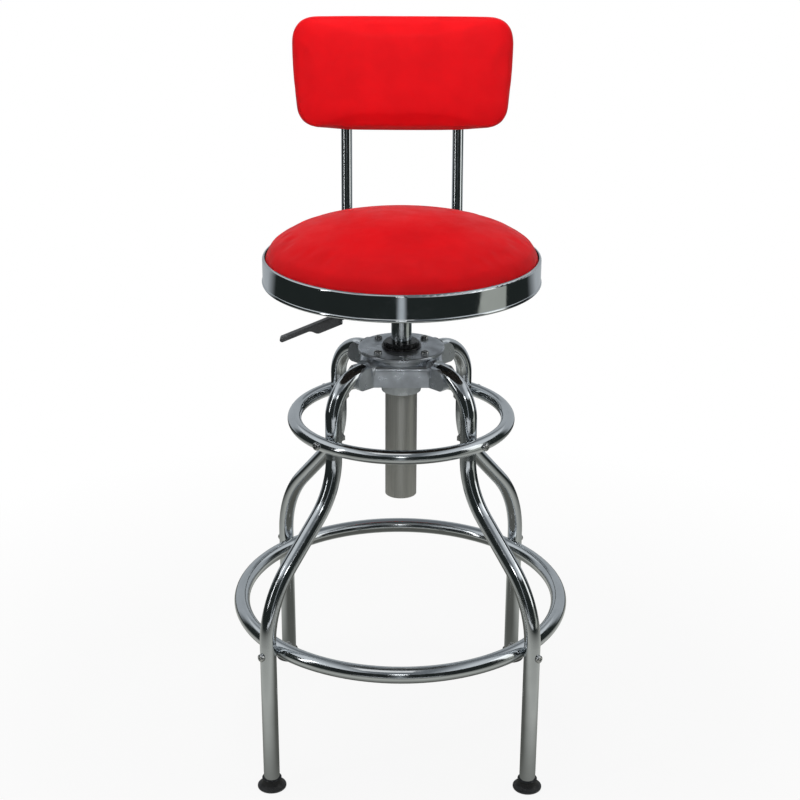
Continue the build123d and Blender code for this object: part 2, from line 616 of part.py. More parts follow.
def seat_band():
    """Polished band: rounded top lip, flat wall, bead and inward flange at the bottom."""
    outer = SEAT_RADIUS
    inner = SEAT_RADIUS - BAND_WALL
    lip = outer - BAND_LIP
    lip_middle = BAND_LIP * (1 - cos(radians(45)))
    inner_lip = BAND_LIP - BAND_WALL
    inner_middle = BAND_WALL + inner_lip * (1 - cos(radians(45)))
    bead_top = BAND_Z + 2 * BAND_BEAD
    flange_end = outer - BAND_FLANGE
    outline = Polyline((outer, bead_top), (outer, BAND_TOP_Z - BAND_LIP))
    outline += ThreePointArc(
        (outer, BAND_TOP_Z - BAND_LIP), (outer - lip_middle, BAND_TOP_Z - lip_middle), (lip, BAND_TOP_Z)
    )
    outline += Line((lip, BAND_TOP_Z), (lip, BAND_TOP_Z - BAND_WALL))
    outline += ThreePointArc(
        (lip, BAND_TOP_Z - BAND_WALL),
        (outer - inner_middle, BAND_TOP_Z - inner_middle),
        (inner, BAND_TOP_Z - BAND_LIP),
    )
    outline += Polyline(
        (inner, BAND_TOP_Z - BAND_LIP), (inner, BOARD_Z), (flange_end, BOARD_Z), (flange_end, BAND_Z), (outer, BAND_Z)
    )
    outline += ThreePointArc((outer, BAND_Z), (outer + BAND_BEAD / 2, BAND_Z + BAND_BEAD), (outer, bead_top))
    return revolve(Plane.XZ * make_face(outline), Axis.Z)


def seat_cushion():
    """Domed cushion: a shoulder arc at the rim runs into a wide crown arc, over a drawn-in side."""
    radius = SEAT_RADIUS - CUSHION_INSET
    top_z = BAND_TOP_Z + CROWN_HEIGHT
    inset = radius - CROWN_SHOULDER
    crown = (inset ** 2 + CROWN_HEIGHT ** 2 - CROWN_SHOULDER ** 2) / (2 * (CROWN_HEIGHT - CROWN_SHOULDER))
    crown_z = top_z - crown
    reach = sqrt(inset ** 2 + (BAND_TOP_Z - crown_z) ** 2)
    tangent_sin = inset / reach
    tangent_cos = (BAND_TOP_Z - crown_z) / reach
    meet = (crown * tangent_sin, crown_z + crown * tangent_cos)
    half = sqrt((1 + tangent_cos) / 2)
    half_sin = tangent_sin / (2 * half)
    crown_middle = (crown * half_sin, crown_z + crown * half)
    shoulder_length = sqrt((tangent_sin + 1) ** 2 + tangent_cos ** 2)
    shoulder_middle = (
        inset + CROWN_SHOULDER * (tangent_sin + 1) / shoulder_length,
        BAND_TOP_Z + CROWN_SHOULDER * tangent_cos / shoulder_length,
    )
    outline = Polyline((radius, BAND_TOP_Z), (radius, CUSHION_Z), (0, CUSHION_Z), (0, top_z))
    outline += ThreePointArc((0, top_z), crown_middle, meet)
    outline += ThreePointArc(meet, shoulder_middle, (radius, BAND_TOP_Z))
    return revolve(Plane.XZ * make_face(outline), Axis.Z)


def upright_path(side):
    """Centre line of an upright: under the seat, back past the band, then up with the backrest's lean."""
    top = BACK_PLANE.from_local_coords(Vector(side * UPRIGHT_X, UPRIGHT_TOP, 0))
    return FilletPolyline(
        (side * UPRIGHT_X, UPRIGHT_FRONT_Y, UPRIGHT_Z),
        (side * UPRIGHT_X, UPRIGHT_REAR_Y, UPRIGHT_Z),
        (top.X, top.Y, top.Z),
        radius=UPRIGHT_BEND,
    )


def upright(side):
    """Bent tube with holes for the seat bolts and the backrest screws."""
    path = upright_path(side)
    tube = rod_along(path, UPRIGHT_DIAMETER) - rod_along(path, UPRIGHT_DIAMETER - 2 * UPRIGHT_WALL)
    for y in UPRIGHT_BOLTS_Y:
        tube -= Pos(side * UPRIGHT_X, y, UPRIGHT_Z) * screw_hole(2 * UPRIGHT_DIAMETER)
    for rise in (-BACK_SCREW_RISE, BACK_SCREW_RISE):
        place = BACK_PLANE * Pos(side * UPRIGHT_X, rise, 0)
        tube -= place * screw_hole(2 * UPRIGHT_DIAMETER, WOOD_SCREW_DIAMETER)
    return tube


def upright_bolts():
    """Bolts up through the uprights and the spacers into the seat board."""
    head_z = UPRIGHT_Z - UPRIGHT_DIAMETER / 2 - SEAT_GAP
    bolt = Rot(180, 0, 0) * machine_screw(BOARD_Z - head_z + BOLT_GRIP)
    return Compound(children=[Pos(x, y, head_z) * bolt for x, y in upright_bolt_places()])


def upright_spacers():
    """Saddle spacers between the uprights and the seat board."""
    height = BOARD_Z - UPRIGHT_Z - SEAT_GAP
    spacer = post(SPACER_DIAMETER / 2, height)
    spacer -= Rot(90, 0, 0) * Cylinder(UPRIGHT_DIAMETER / 2 + SEAT_GAP, 2 * SPACER_DIAMETER)
    spacer -= Cylinder(SCREW_DIAMETER / 2 + SCREW_PLAY, 4 * height)
    saddle = spacer.solids().sort_by(Axis.Z)[-1]
    return Compound(children=[Pos(x, y, UPRIGHT_Z) * saddle for x, y in upright_bolt_places()])


def upright_caps():
    """Plugs in the four open ends of the uprights."""
    bore = UPRIGHT_DIAMETER / 2 - UPRIGHT_WALL - FIT
    cap = fillet(post(UPRIGHT_DIAMETER / 2, CAP_THICKNESS).faces().sort_by(Axis.Z)[-1].edges(), CAP_THICKNESS / 2)
    cap += Pos(0, 0, -CAP_PLUG) * post(bore, CAP_PLUG)
    caps = []
    for side in (-1, 1):
        path = upright_path(side)
        caps.append(Plane(origin=path @ 0, z_dir=(path % 0) * -1) * cap)
        caps.append(Plane(origin=path @ 1, z_dir=path % 1) * cap)
    return Compound(children=caps)


def back_outline(inset):
    """Backrest outline seen from the front: a rounded trapezium whose top edge dips in the middle."""
    top = PAD_HEIGHT / 2 - inset
    half_top = PAD_TOP_WIDTH / 2 - inset
    half_bottom = PAD_BOTTOM_WIDTH / 2 - inset
    outline = Polyline((half_top, top), (half_bottom, -top), (-half_bottom, -top), (-half_top, top))
    outline += ThreePointArc((-half_top, top), (0, top - PAD_TOP_SAG), (half_top, top))
    face = make_face(outline)
    return fillet(face.vertices(), PAD_CORNER - inset)


def back_screw_places():
    """Places of the screws that hold the backrest, in the backrest's plane."""
    return GridLocations(UPRIGHT_SPACING, 2 * BACK_SCREW_RISE, 2, 2)


def back_board():
    """Plywood board in the back of the pad, with pilot holes for its screws."""
    board = Pos(0, 0, BACK_FACE) * extrude(back_outline(PAD_WRAP), BACK_BOARD)
    for place in back_screw_places():
        board -= Pos(0, 0, BACK_FACE) * place * screw_hole(2 * (BACK_SCREW_GRIP + SEAT_GAP), WOOD_SCREW_DIAMETER)
    return BACK_PLANE * board


def back_pad():
    """Upholstered pad: crowned front, rounded edges, wrapped round the board."""
    body = Pos(0, 0, BACK_FACE) * extrude(back_outline(0), PAD_THICKNESS)
    crown = Pos(0, 0, BACK_FACE + PAD_THICKNESS - PAD_CROWN_RADIUS) * Sphere(PAD_CROWN_RADIUS)
    body = body & crown
    faces = body.faces().sort_by(Axis.Z)
    body = fillet(faces[-1].edges(), PAD_FRONT_ROUND)
    body = fillet(body.faces().sort_by(Axis.Z)[0].edges(), PAD_REAR_ROUND)
    pocket = Pos(0, 0, BACK_FACE) * extrude(back_outline(PAD_WRAP - SEAT_GAP), BACK_BOARD + SEAT_GAP)
    return BACK_PLANE * (body - pocket)


def back_screws():
    """Screws from behind, through the uprights into the backrest's board."""
    head_offset = UPRIGHT_DIAMETER / 2 + SEAT_GAP
    length = head_offset + BACK_FACE + BACK_SCREW_GRIP
    one = screw(WOOD_SCREW_DIAMETER, length, WOOD_SCREW_HEAD, WOOD_SCREW_HEAD_HEIGHT, WOOD_SCREW_ROUND)
    one = Pos(0, 0, -head_offset) * Rot(180, 0, 0) * one
    return Compound(children=[BACK_PLANE * place * one for place in back_screw_places()])


def build():
    """All nodes of the stool by name."""
    upper_screws, upper_nuts = ring_fasteners(
        UPPER_RING_RADIUS + UPPER_RING_DIAMETER / 2, LEG_UPPER_RADIUS - LEG_DIAMETER / 2, UPPER_RING_Z
    )
    lower_screws, lower_nuts = ring_fasteners(
        LEG_LOWER_RADIUS + LEG_DIAMETER / 2, LOWER_RING_RADIUS - LOWER_RING_DIAMETER / 2, LOWER_RING_Z
    )
    nodes = {
        "upper_ring": foot_ring(UPPER_RING_RADIUS, UPPER_RING_DIAMETER, UPPER_RING_WALL, UPPER_RING_Z),
        "lower_ring": foot_ring(LOWER_RING_RADIUS, LOWER_RING_DIAMETER, LOWER_RING_WALL, LOWER_RING_Z),
        "upper_ring_screws": upper_screws,
        "upper_ring_nuts": upper_nuts,
        "lower_ring_screws": lower_screws,
        "lower_ring_nuts": lower_nuts,
        "hub": hub(),
        "leg_bolts": leg_bolts(),
        "guide_tube": guide_tube(),
        "column_bush": column_bush(),
        "thrust_washer_lower": washer(
            WASHER_DIAMETER / 2, STUB_DIAMETER / 2 + SIDE_PLAY, LOWER_WASHER_Z, WASHER_THICKNESS
        ),
        "thrust_washer_upper": washer(
            WASHER_DIAMETER / 2, STUB_DIAMETER / 2 + FIT, UPPER_WASHER_Z, WASHER_THICKNESS
        ),
        "bearing_balls": bearing_balls(),
        "bearing_cage": bearing_cage(),
        "piston_rod": piston_rod(),
        "retaining_clip": retaining_clip(),
        "piston": piston(),
        "bump_stop": bump_stop(),
        "pressure_tube": pressure_tube(),
        "rod_gland": rod_gland(),
        "valve_body": valve_body(),
        "release_pin": release_pin(),
        "seat_bracket": seat_bracket(),
        "bracket_bolts": bracket_bolts(),
        "lever_pin": lever_pin(),
        "lever_bar": lever_bar(),
        "lever_handle": lever_handle(),
        "seat_board": seat_board(),
        "seat_band": seat_band(),
        "seat_cushion": seat_cushion(),
        "upright_left": upright(-1),
        "upright_right": upright(1),
        "upright_bolts": upright_bolts(),
        "upright_spacers": upright_spacers(),
        "upright_caps": upright_caps(),
        "back_board": back_board(),
        "back_pad": back_pad(),
        "back_screws": back_screws(),
    }
    one_leg = leg()
    one_glide = glide()
    for place, angle in LEG_ANGLES.items():
        nodes["leg_" + place] = Rot(0, 0, angle) * one_leg
        nodes["glide_" + place] = Rot(0, 0, angle) * one_glide
    return nodes


os.makedirs("parts", exist_ok=True)
for node, shape in build().items():
    export_step(shape, "parts/" + node + ".step")
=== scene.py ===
"""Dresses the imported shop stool: finishes for metal, plastic and wood, simulated covers, and a studio."""

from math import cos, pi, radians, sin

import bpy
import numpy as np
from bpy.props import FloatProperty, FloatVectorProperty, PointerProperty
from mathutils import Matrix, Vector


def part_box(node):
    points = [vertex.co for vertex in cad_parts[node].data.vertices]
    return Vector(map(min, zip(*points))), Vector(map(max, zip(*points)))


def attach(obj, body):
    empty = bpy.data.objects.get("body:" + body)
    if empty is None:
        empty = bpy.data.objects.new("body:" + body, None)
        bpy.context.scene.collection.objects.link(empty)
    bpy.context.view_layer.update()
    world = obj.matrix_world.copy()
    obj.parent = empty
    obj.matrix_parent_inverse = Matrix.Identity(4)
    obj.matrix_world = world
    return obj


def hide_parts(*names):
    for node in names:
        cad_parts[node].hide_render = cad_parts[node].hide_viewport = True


bl_info = {
    "name": "Shop Stool",
    "version": (1, 0, 0),
    "blender": (4, 5, 0),
    "location": "View3D > Sidebar > Shop Stool",
    "description": "Finishes, upholstery and studio of a swivel shop stool",
    "category": "Object",
}

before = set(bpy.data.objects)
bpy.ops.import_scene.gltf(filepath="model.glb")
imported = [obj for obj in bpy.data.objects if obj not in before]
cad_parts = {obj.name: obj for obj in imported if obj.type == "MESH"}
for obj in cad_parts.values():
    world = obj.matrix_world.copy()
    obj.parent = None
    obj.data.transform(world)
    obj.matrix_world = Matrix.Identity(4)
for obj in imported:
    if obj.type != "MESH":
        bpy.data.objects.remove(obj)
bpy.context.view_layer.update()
MM = 0.001

# Names and sizes that the settings don't hold
VINYL = "embossed_upholstery_vinyl"
REAR_GAP = 0.05 * MM        # back cover to the uprights
REAR_TUCK = 4 * MM          # back cover's rear lies this deep in the board
PAD_INNER = 34 * MM         # inset inside which the pad's rows shrink to the middle
PAD_STEPS = 20              # rows that shrink to the middle, behind and in front
PAD_TIP = 0.03              # size of the last of these rows, as a share of the first
PAD_TUCKED = 0.96           # share of the rear rim inside which the cover lies in the board
SEAT_AROUND = 120           # points round the seat
SEAT_TIP = 0.02             # size of the sole's first row, as a share of the seat
SOLE_STEPS = 30
RELAX_ROUNDS = 4            # before and after the cloth simulation

# Stage, in metres and radians
FLOOR_HALF = 14.0
FLOOR_FADE = (0.5, 1.1)     # distance from the axis where the paper turns plain white
FLOOR_GLOW = 0.9            # share of plain white under the stool
# Shell of painted reflections: glowing colours that only mirrors see; it lights nothing.
SHELL_RADIUS = 2.8
SHELL_WALL = 2.0
SHELL_TOP = 3.6
SHELL_GROUND = 0.003        # level of its floor
SHELL_AROUND = 241          # points round the shell
SHELL_ROWS = (80, 20, 60)   # rows of points on its floor, wall and ceiling
SHELL_NEAR = (0.45, 1.25)   # distance from the axis where its floor turns from grey to dark
SHELL_PAINTED_SHADE = (0.2, 0.45)   # distance from the axis where the painted shade under the stool ends
SHELL_HIGHLIGHT_STRIP = (0.17, 0.05)  # half width of the pale strip of painted highlight towards the camera, with and without its soft edge
SHELL_HIGHLIGHT_CARD = (0.7, -1.8, -1.3)      # white card of painted highlight in front: half width, least Y, greatest Y
SHELL_PAPER = (1.25, 1.8)   # distance behind the axis where the pale paper starts and is whole
SHELL_PAINTED_WINDOW = (1.3, -1.05, 0.05)   # painted window reflection: least X, least Y, greatest Y
SHELL_SIDES = (0.8, 1.6)    # distance to the left and right where the ceiling turns pale
SHELL_PAINTED_SOFTBOX = (-0.3, -0.8, 0.6)   # painted softbox reflection in the ceiling: middle X and Y, half side
AMBIENT = 0.3
PHOTO_WIDTH = 800
FOCAL_PIXELS = 1574.5
SENSOR = 36
CAMERA_PLACE = (0, -2.036, 1.2904)
CAMERA_PITCH = 0.3665
CAMERA_ROLL = 0.004
CAMERA_YAW = 0.0008


def linear(code):
    """sRGB hex colour to linear red, green and blue."""
    share = np.array([int(code[i : i + 2], 16) for i in (1, 3, 5)]) / 255
    value = np.where(share <= 0.04045, share / 12.92, ((share + 0.055) / 1.055) ** 2.4)
    return tuple(float(v) for v in value)


def colour(label, words, code):
    """Colour property of a finish."""
    return FloatVectorProperty(
        name=label, description=words, subtype="COLOR", size=3, min=0, max=1, default=linear(code)
    )


def length(label, words, value):
    """Length property in metres."""
    return FloatProperty(name=label, description=words, default=value, min=0, unit="LENGTH", precision=4)


class StoolUpholstery(bpy.types.PropertyGroup):
    """Sizes of the seat cushion and the back pad."""

    shoulder: length("Seat shoulder", "Radius of the dome's edge arc above the band", 22 * MM)
    back_lean: FloatProperty(
        name="Back lean", description="Tilt of the backrest", default=radians(7), subtype="ANGLE"
    )
    pad_top: length("Pad top width", "Width at the sharp upper corners", 315.2 * MM)
    pad_bottom: length("Pad bottom width", "Width at the sharp lower corners", 296.7 * MM)
    pad_height: length("Pad height", "Height along the leaning backrest", 156 * MM)
    pad_thickness: length("Pad thickness", "Rear face to the crown's top", 38 * MM)
    pad_corner: length("Pad corner", "Corner radius seen from the front", 31 * MM)
    pad_sag: length("Pad top sag", "Dip in the middle of the top edge", 3 * MM)
    pad_crown: length("Pad crown radius", "Radius of the crowned front", 1400 * MM)
    pad_front_round: length("Pad front edge", "Radius of the front edge", 9 * MM)
    pad_rear_round: length("Pad rear edge", "Radius of the rear edge", 5 * MM)
    upright_reach: length("Upright reach", "How far the uprights reach above the pad's middle", 45 * MM)
    seat_flatten: length("Seat flatten", "How far the seat's form lies below the CAD crown", 6 * MM)
    swell: length("Swell", "How far the stuffing may push the cover out", 3 * MM)


class StoolFinishes(bpy.types.PropertyGroup):
    """Colours of the stool."""

    vinyl: colour("Vinyl", "Seat and back cover", "#E01119")
    chrome: colour("Chrome", "Tubes, rings and band", "#CDD1D4")
    zinc: colour("Zinc", "Screws, bolts and nuts", "#C9CACA")
    steel: colour("Drawn steel", "Column tube", "#C6C6C1")
    aluminium: colour("Aluminium", "Cast hub", "#CFD4DA")
    black: colour("Black", "Plastic, rubber and powder coat", "#2A2B2D")
    # The handle's colour is painted light: black nylon lightened to make up for the shade under the seat.
    handle: colour("Handle", "Lever handle", "#626466")
    # Plywood colour darkened as painted shade, so mirrors see a dark underside; both boards take it.
    wood: colour("Plywood", "Seat board and back board", "#3B3129")


def finishes():
    """The scene's finish colours."""
    return bpy.context.scene.stool_finishes


def upholstery():
    """The scene's upholstery sizes."""
    return bpy.context.scene.stool_upholstery


# Materials


def add_node(tree, kind, inputs=None, **settings):
    """Adds a node, with its settings, and with each input set to a value or linked to a socket."""
    made = tree.nodes.new(kind)
    for name, value in settings.items():
        setattr(made, name, value)
    for socket, value in (inputs or {}).items():
        if isinstance(value, bpy.types.NodeSocket):
            tree.links.new(value, made.inputs[socket])
        else:
            made.inputs[socket].default_value = value
    return made


def new_material(name, **values):
    """Material with these values on its Principled shader's sockets; returns it, its tree and shader."""
    material = bpy.data.materials.new(name)
    material.use_nodes = True
    tree = material.node_tree
    shader = tree.nodes["Principled BSDF"]
    for socket, value in values.items():
        shader.inputs[socket.replace("_", " ")].default_value = value
    return material, tree, shader


def per_mm(size):
    """Texture scale that gives features of this size in millimetres, on coordinates in metres."""
    return 1000 / size


def place_of(tree):
    """Object coordinates, in metres."""
    return add_node(tree, "ShaderNodeTexCoord").outputs["Object"]


def noise(tree, place, size, detail=3.0, roughness=0.55):
    """Noise with features of this size in millimetres."""
    settings = {"Vector": place, "Scale": per_mm(size), "Detail": detail, "Roughness": roughness}
    return add_node(tree, "ShaderNodeTexNoise", settings).outputs["Fac"]


def spread(tree, value, low, high, start=0.35, end=0.65):
    """Maps a pattern's middle range to low and high."""
    ranges = {"Value": value, "From Min": start, "From Max": end, "To Min": low, "To Max": high}
    return add_node(tree, "ShaderNodeMapRange", ranges).outputs["Result"]


def tinted(tree, shader, base, factor, darker):
    """Base colour that varies to a darker share of itself with a factor."""
    ranges = {0: factor, 6: (*base, 1), 7: (*(channel * darker for channel in base), 1)}
    mix = add_node(tree, "ShaderNodeMix", ranges, data_type="RGBA")
    tree.links.new(mix.outputs[2], shader.inputs["Base Color"])


def bumped(tree, shader, height, depth):
    """Bump of this depth in millimetres."""
    relief = {"Height": height, "Strength": 1.0, "Distance": depth * MM}
    bump = add_node(tree, "ShaderNodeBump", relief)
    tree.links.new(bump.outputs["Normal"], shader.inputs["Normal"])


def roughened(tree, shader, value):
    """Roughness from a pattern."""
    tree.links.new(value, shader.inputs["Roughness"])


def upholstery_vinyl():
    """Calendered and embossed vinyl: soft gloss, a fine pebble grain, slightly uneven depth of colour."""
    material, tree, shader = new_material(VINYL, IOR=1.53, Specular_IOR_Level=0.06)
    place = place_of(tree)
    # Real grain is about 0.8 mm; 1.6 mm is the finest that shows at the photograph's scale.
    cells = {"Vector": place, "Scale": per_mm(1.6)}
    grain = add_node(tree, "ShaderNodeTexVoronoi", cells, feature="SMOOTH_F1").outputs["Distance"]
    pores = noise(tree, place, 0.9, detail=2.0)
    relief = add_node(tree, "ShaderNodeMath", {0: grain, 1: pores}, operation="ADD").outputs[0]
    bumped(tree, shader, relief, 0.05)
    tinted(tree, shader, finishes().vinyl, spread(tree, noise(tree, place, 60), 0, 1), 0.9)
    roughened(tree, shader, spread(tree, noise(tree, place, 25), 0.4, 0.5))
    return material


def chrome_plate(name, wave, haze):
    """Bright chrome plate on polished steel: mirror gloss with a faint haze and slow waves of the tube."""
    material, tree, shader = new_material(name, Metallic=1.0)
    place = place_of(tree)
    tinted(tree, shader, finishes().chrome, spread(tree, noise(tree, place, 45), 0, 1), 0.93)
    roughened(tree, shader, spread(tree, noise(tree, place, 14, detail=5.0), 0.6 * haze, 1.4 * haze))
    bumped(tree, shader, noise(tree, place, 30, detail=1.0), wave)
    return material


def zinc_plate():
    """Bright zinc plate on turned steel: silvery, a little cloudy, with fine tool marks."""
    material, tree, shader = new_material("bright_zinc_plate", Metallic=1.0)
    place = place_of(tree)
    tinted(tree, shader, finishes().zinc, spread(tree, noise(tree, place, 3), 0, 1), 0.8)
    roughened(tree, shader, spread(tree, noise(tree, place, 1.2), 0.18, 0.34))
    bumped(tree, shader, noise(tree, place, 0.8), 0.02)
    return material


def drawn_steel():
    """Drawn steel tube: satin, with lines along the drawing direction and a brownish oil film."""
    material, tree, shader = new_material("drawn_steel_tube", Metallic=0.75)
    place = place_of(tree)
    # Drawing lines are about 0.2 mm; 1 mm across and 80 mm along is what shows at this scale.
    stretch = {"Vector": place, "Scale": (1, 1, 1 / 80)}
    along = add_node(tree, "ShaderNodeMapping", stretch).outputs["Vector"]
    lines = noise(tree, along, 1.0, detail=2.0)
    tinted(tree, shader, finishes().steel, spread(tree, lines, 0, 1), 0.87)
    roughened(tree, shader, spread(tree, lines, 0.28, 0.36))
    bumped(tree, shader, lines, 0.02)
    return material


def cast_aluminium():
    """Tumbled die casting: pale, matte, finely pitted, with darker patches in the skin."""
    material, tree, shader = new_material("tumbled_cast_aluminium", Metallic=0.85)
    place = place_of(tree)
    skin = noise(tree, place, 18, detail=4.0)
    grit = noise(tree, place, 1.1, detail=3.0)
    tinted(tree, shader, finishes().aluminium, spread(tree, skin, 0, 1), 0.78)
    roughened(tree, shader, spread(tree, skin, 0.26, 0.38))
    bumped(tree, shader, grit, 0.09)
    return material


def black_moulding(name, base, rough, grit, depth):
    """Moulded or sprayed black polymer: dark, low gloss, with the mould's or powder's fine texture."""
    material, tree, shader = new_material(name, IOR=1.5)
    place = place_of(tree)
    speckle = noise(tree, place, grit, detail=2.0)
    tinted(tree, shader, base, spread(tree, speckle, 0, 1), 0.6)
    roughened(tree, shader, spread(tree, noise(tree, place, 12), rough - 0.06, rough + 0.06))
    bumped(tree, shader, speckle, depth)
    return material


def shade_darkened_plywood():
    """Plywood darkened as painted shade, so that mirrors see a dark seat underside: long grain in its faces,
    dull.
    """
    material, tree, shader = new_material("shade_darkened_plywood", Roughness=0.7)
    place = place_of(tree)
    # Grain lines 2 mm apart run along X, 60 mm long.
    stretch = {"Vector": place, "Scale": (1 / 30, 1, 1)}
    along = add_node(tree, "ShaderNodeMapping", stretch).outputs["Vector"]
    grain = noise(tree, along, 2.0, detail=4.0)
    tinted(tree, shader, finishes().wood, spread(tree, grain, 0, 1), 0.62)
    bumped(tree, shader, grain, 0.08)
    return material


def finish_nodes(material, names):
    """Gives CAD nodes one material in all their slots."""
    for name in names:
        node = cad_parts[name]
        node.data.materials.clear()
        node.data.materials.append(material)


def nodes_named(*starts):
    """CAD nodes whose names begin with one of these words."""
    return [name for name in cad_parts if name.startswith(starts)]


# Meshes


def lofted_mesh(name, rows):
    """Closed skin over rows of points: quads between rows, and a fan to the middle of each end row."""
    count, around, _ = rows.shape
    points = np.vstack([rows.reshape(-1, 3), rows[0].mean(0), rows[-1].mean(0)])
    here = np.arange(count * around).reshape(count, around)
    there = np.roll(here, -1, axis=1)
    quads = np.stack([here[:-1], there[:-1], there[1:], here[1:]], axis=-1).reshape(-1, 4)
    low, high = count * around, count * around + 1
    foot = np.stack([there[0], here[0], np.full(around, low)], axis=-1)
    head = np.stack([here[-1], there[-1], np.full(around, high)], axis=-1)
    mesh = bpy.data.meshes.new(name)
    mesh.from_pydata(points.tolist(), [], quads.tolist() + foot.tolist() + head.tolist())
    mesh.validate()
    return mesh


def vertex_array(mesh):
    """Points of a mesh as an array."""
    flat = np.empty(len(mesh.vertices) * 3)
    mesh.vertices.foreach_get("co", flat)
    return flat.reshape(-1, 3)


def set_vertices(mesh, points):
    """Writes an array of points back to a mesh."""
    mesh.vertices.foreach_set("co", points.astype(np.float32).ravel())
    mesh.update()


def relaxed(mesh, points, rounds):
    """Each round moves every point half way to the mean of its neighbours along the mesh edges."""
    ends = np.empty(len(mesh.edges) * 2, dtype=np.int64)
    mesh.edges.foreach_get("vertices", ends)
    start, end = ends.reshape(-1, 2).T
    degree = np.bincount(ends, minlength=len(points))[:, None]
    for _ in range(rounds):
        total = np.zeros_like(points)
        np.add.at(total, start, points[end])
        np.add.at(total, end, points[start])
        points = 0.5 * points + 0.5 * total / degree
    return points


def evaluated_mesh(piece):
    """The piece's mesh with its modifiers applied."""
    depsgraph = bpy.context.evaluated_depsgraph_get()
    return bpy.data.meshes.new_from_object(piece.evaluated_get(depsgraph))


def swap_mesh(piece, mesh):
    """Gives the piece an applied mesh and clears its modifiers."""
    piece.modifiers.clear()
    old = piece.data
    piece.data = mesh
    bpy.data.meshes.remove(old)


def stuffed(piece, held, swell, voxel=4 * MM, pressure=4.0, frames=20):
    """Remeshes the piece in even cells, blows its cover up in a cloth simulation and caps the movement."""
    remesh = piece.modifiers.new("even_cells", "REMESH")
    remesh.mode = "VOXEL"
    remesh.voxel_size = voxel
    swap_mesh(piece, evaluated_mesh(piece))
    start = relaxed(piece.data, vertex_array(piece.data), RELAX_ROUNDS)
    set_vertices(piece.data, start)
    group = piece.vertex_groups.new(name="held")
    group.add(np.flatnonzero(held(start)).tolist(), 1.0, "REPLACE")
    cloth = piece.modifiers.new("cover", "CLOTH")
    cloth.settings.use_pressure = True
    cloth.settings.uniform_pressure_force = pressure
    cloth.settings.vertex_group_mass = group.name
    cloth.settings.effector_weights.gravity = 0
    cloth.point_cache.frame_start = 1
    cloth.point_cache.frame_end = frames
    scene = bpy.context.scene
    for number in range(1, frames + 1):
        scene.frame_set(number)
    blown = evaluated_mesh(piece)
    move = vertex_array(blown) - start
    far = np.linalg.norm(move, axis=1, keepdims=True)
    move *= np.minimum(1, swell / np.maximum(far, 1e-9))
    scene.frame_set(1)
    swap_mesh(piece, blown)
    set_vertices(piece.data, relaxed(piece.data, start + move, RELAX_ROUNDS))
    piece.vertex_groups.clear()


def soften(piece):
    """Smooth shading and one subdivision."""
    piece.data.polygons.foreach_set("use_smooth", np.ones(len(piece.data.polygons), dtype=bool))
    fine = piece.modifiers.new("fine", "SUBSURF")
    fine.levels = 1
    fine.render_levels = 1


def add_piece(name, mesh):
    """New object at the origin."""
    piece = bpy.data.objects.new(name, mesh)
    bpy.context.scene.collection.objects.link(piece)
    return piece


# Upholstery shapes


def arc(centre, radius, start, end, count):
    """Points on an arc, angles in radians from the first axis."""
    angle = np.linspace(start, end, count)
    return np.stack([centre[0] + radius * np.cos(angle), centre[1] + radius * np.sin(angle)], axis=-1)


def seat_profile():
    """Radius and height from the cushion's sole to its top.

    A flat sole, an upright side, then a shoulder arc tangent to a crown arc.
    """
    low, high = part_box("seat_cushion")
    rim_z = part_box("seat_band")[1].z
    radius = high.x
    top = high.z - upholstery().seat_flatten
    shoulder = upholstery().shoulder
    rise = top - rim_z
    reach = radius - shoulder
    crown = (reach**2 + rise**2 - shoulder**2) / (2 * (rise - shoulder))
    meet = np.arctan2(rim_z - (top - crown), reach)
    sole_radius = np.linspace(SEAT_TIP, 1, SOLE_STEPS) * radius
    sole = np.stack([sole_radius, np.full(SOLE_STEPS, low.z)], axis=-1)
    side = np.stack([np.full(4, radius), np.linspace(low.z, rim_z, 6)[1:-1]], axis=-1)
    edge = arc((reach, rim_z), shoulder, 0, meet, 20)
    dome = arc((0, top - crown), crown, meet, pi / 2, 50)[1:-1]
    return np.vstack([sole, side, edge, dome])


def turned(profile, around):
    """Rows of points: each profile point carried once round the swivel axis."""
    angle = np.linspace(0, 2 * pi, around, endpoint=False)
    radius, height = profile[:, :1], profile[:, 1:]
    return np.stack([radius * np.cos(angle), radius * np.sin(angle), height + 0 * angle], axis=-1)


def back_place():
    """Axes, origin and tube radius of the backrest's frame on the uprights: X right, Y up, Z to the front."""
    lean = upholstery().back_lean
    reach = upholstery().upright_reach
    low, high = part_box("upright_left")
    radius = (high.x - low.x) / 2
    origin_y = high.y - radius * cos(lean) - reach * sin(lean)
    origin_z = high.z - radius * sin(lean) - reach * cos(lean)
    axes = np.array([(1, 0, 0), (0, sin(lean), cos(lean)), (0, -cos(lean), sin(lean))])
    return axes, np.array((0, origin_y, origin_z)), radius


